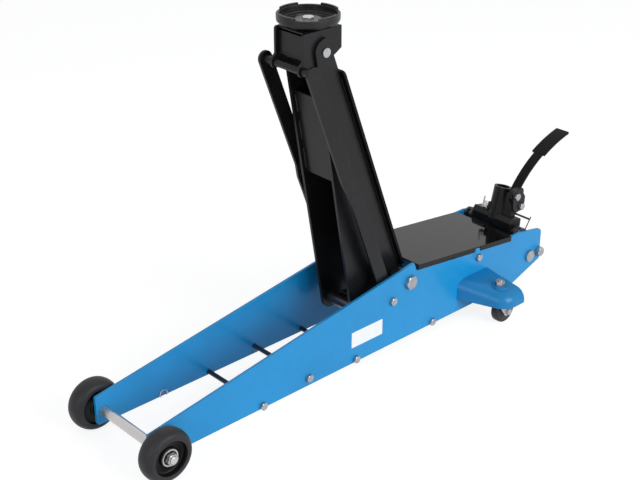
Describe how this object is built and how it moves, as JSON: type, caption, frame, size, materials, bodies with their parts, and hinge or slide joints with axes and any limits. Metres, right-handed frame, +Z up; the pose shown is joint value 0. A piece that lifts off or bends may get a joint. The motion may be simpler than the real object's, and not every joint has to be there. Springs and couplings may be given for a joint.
{
  "type": "floor jack",
  "caption": "Hydraulic floor jack with a long low chassis, parallel lift arm and links, turning saddle, rear casters and a pump yoke with a foot pedal.",
  "frame": {"origin": "on the floor under the middle of the jack's bounding box, with the arm raised", "axes": "+X from the front wheels to the pedal, -Y the side with the pedal, +Z up"},
  "size_m": [1.321, 0.41, 0.7889],
  "materials": {
    "blue_paint": "satin blue powder coat",
    "black_paint": "satin black powder coat",
    "deck_black": "black paint on sheet",
    "zinc": "zinc plated",
    "bright_steel": "turned steel",
    "black_rod": "blackened steel",
    "wheel_nylon": "dark nylon",
    "caster_nylon": "dark nylon",
    "caster_zinc": "zinc plated sheet",
    "cast_black": "black casting",
    "saddle_black": "black casting, worn rim",
    "washer_grey": "dull steel",
    "unit_grey": "dark grey paint",
    "chrome_rod": "hard chromed",
    "spring_steel": "spring wire"
  },
  "bodies": {
    "chassis": {"side_plate_left": "blue_paint", "side_plate_right": "blue_paint", "tie_rods": "black_rod", "tie_rod_heads": "zinc", "front_axle": "bright_steel", "axle_nuts": "zinc", "axle_washers": "zinc", "cover_plate": "deck_black", "cover_support": "blue_paint", "cover_bolts": "zinc", "outrigger_left": "blue_paint", "outrigger_right": "blue_paint", "caster_races": "caster_zinc", "caster_studs": "zinc", "arm_pivot_bolt": "zinc", "pivot_spacers": "black_rod", "link_foot_bolts": "zinc", "unit_pins": "zinc", "yoke_pin": "black_rod", "yoke_bushes": "black_rod", "return_spring": "spring_steel", "wire_eye": "zinc"},
    "front_wheel_left": {"front_wheel_left": "wheel_nylon", "wheel_bush_left": "bright_steel"},
    "front_wheel_right": {"front_wheel_right": "wheel_nylon", "wheel_bush_right": "bright_steel"},
    "caster_left": {"caster_fork_left": "caster_zinc", "caster_axle_left": "zinc"},
    "caster_right": {"caster_fork_right": "caster_zinc", "caster_axle_right": "zinc"},
    "caster_wheel_left": {"caster_wheel_left": "caster_nylon"},
    "caster_wheel_right": {"caster_wheel_right": "caster_nylon"},
    "lift_arm": {"arm_side_plate_left": "black_paint", "arm_side_plate_right": "black_paint", "arm_top_plate": "black_paint", "arm_brace_plate": "black_paint", "saddle_pin": "zinc", "crosshead_pin": "black_rod"},
    "radius_links": {"radius_link_left": "black_paint", "radius_link_right": "black_paint", "link_top_shaft": "black_paint"},
    "saddle_carrier": {"saddle_bracket": "black_paint", "saddle_washer": "washer_grey", "saddle_bolt": "bright_steel"},
    "saddle": {"saddle_cup": "saddle_black"},
    "cylinder": {"pump_block": "unit_grey", "cylinder_tube": "unit_grey", "cylinder_gland": "unit_grey"},
    "ram": {"ram_rod": "chrome_rod", "ram_head": "black_rod"},
    "pump_plunger": {"pump_plunger": "bright_steel"},
    "yoke": {"handle_yoke": "cast_black", "handle_socket": "cast_black", "pedal_lever": "cast_black", "pedal_bracket": "black_paint", "pump_cam_pin": "bright_steel", "spring_rod": "zinc", "pedal_bolts": "zinc"},
    "release": {"release_coupling": "bright_steel"},
    "clamp": {"clamp_screw": "bright_steel"}
  },
  "joints": [
    {"name": "lift_arm", "type": "hinge", "parent": "chassis", "child": "lift_arm", "pos_m": [0.0805, 0, 0.161], "axis": [0, 1, 0], "range_deg": [-73.5, 0]},
    {"name": "radius_links", "type": "hinge", "parent": "chassis", "child": "radius_links", "pos_m": [0.028, 0, 0.133], "axis": [0, 1, 0], "range_deg": [-73.5, 0]},
    {"name": "saddle_level", "type": "hinge", "parent": "lift_arm", "child": "saddle_carrier", "pos_m": [-0.13068, 0, 0.71694], "axis": [0, 1, 0], "range_deg": [0, 73.5]},
    {"name": "saddle_turn", "type": "hinge", "parent": "saddle_carrier", "child": "saddle", "pos_m": [-0.13188, 0, 0.76794], "axis": [0, 0, 1], "continuous": true},
    {"name": "cylinder_swing", "type": "hinge", "parent": "chassis", "child": "cylinder", "pos_m": [0.4965, 0, 0.081], "axis": [0, 1, 0], "range_deg": [-8.67, 0]},
    {"name": "ram_stroke", "type": "slide", "parent": "cylinder", "child": "ram", "axis": [-0.9983, 0, 0.0584], "range_m": [-0.12357, 0]},
    {"name": "front_wheel_left", "type": "hinge", "parent": "chassis", "child": "front_wheel_left", "pos_m": [-0.6055, -0.118, 0.055], "axis": [0, 1, 0], "continuous": true},
    {"name": "front_wheel_right", "type": "hinge", "parent": "chassis", "child": "front_wheel_right", "pos_m": [-0.6055, 0.118, 0.055], "axis": [0, 1, 0], "continuous": true},
    {"name": "caster_swivel_left", "type": "hinge", "parent": "chassis", "child": "caster_left", "pos_m": [0.3065, -0.16, 0.074], "axis": [0, 0, 1], "continuous": true},
    {"name": "caster_swivel_right", "type": "hinge", "parent": "chassis", "child": "caster_right", "pos_m": [0.3065, 0.16, 0.074], "axis": [0, 0, 1], "continuous": true},
    {"name": "caster_roll_left", "type": "hinge", "parent": "caster_left", "child": "caster_wheel_left", "pos_m": [0.3215, -0.16, 0.03], "axis": [0, 1, 0], "continuous": true},
    {"name": "caster_roll_right", "type": "hinge", "parent": "caster_right", "child": "caster_wheel_right", "pos_m": [0.3215, 0.16, 0.03], "axis": [0, 1, 0], "continuous": true},
    {"name": "pump_stroke", "type": "hinge", "parent": "chassis", "child": "yoke", "pos_m": [0.4725, 0, 0.142], "axis": [0, 1, 0], "range_deg": [0, 45], "stiffness_Nm_per_rad": 2, "springref_deg": -51.57, "deforming": ["return_spring"]},
    {"name": "plunger_stroke", "type": "slide", "parent": "cylinder", "child": "pump_plunger", "axis": [0.0584, 0, 0.9983], "range_m": [-0.0128, 0]},
    {"name": "release_turn", "type": "hinge", "parent": "yoke", "child": "release", "pos_m": [0.47901, 0, 0.16717], "axis": [0.2504, 0, 0.9681], "range_deg": [0, 90]},
    {"name": "clamp_turn", "type": "hinge", "parent": "yoke", "child": "clamp", "pos_m": [0.48277, 0, 0.18169], "axis": [-0.5826, 0.7986, 0.1507], "continuous": true}
  ],
  "couplings": [
    {"joint": "radius_links", "follows": "lift_arm", "ratio": 1},
    {"joint": "saddle_level", "follows": "lift_arm", "ratio": -1},
    {"joint": "cylinder_swing", "follows": "lift_arm", "ratio": 0.11773},
    {"joint": "ram_stroke", "follows": "lift_arm", "m_per_rad": 0.09625},
    {"joint": "plunger_stroke", "follows": "pump_stroke", "m_per_rad": -0.0162}
  ]
}
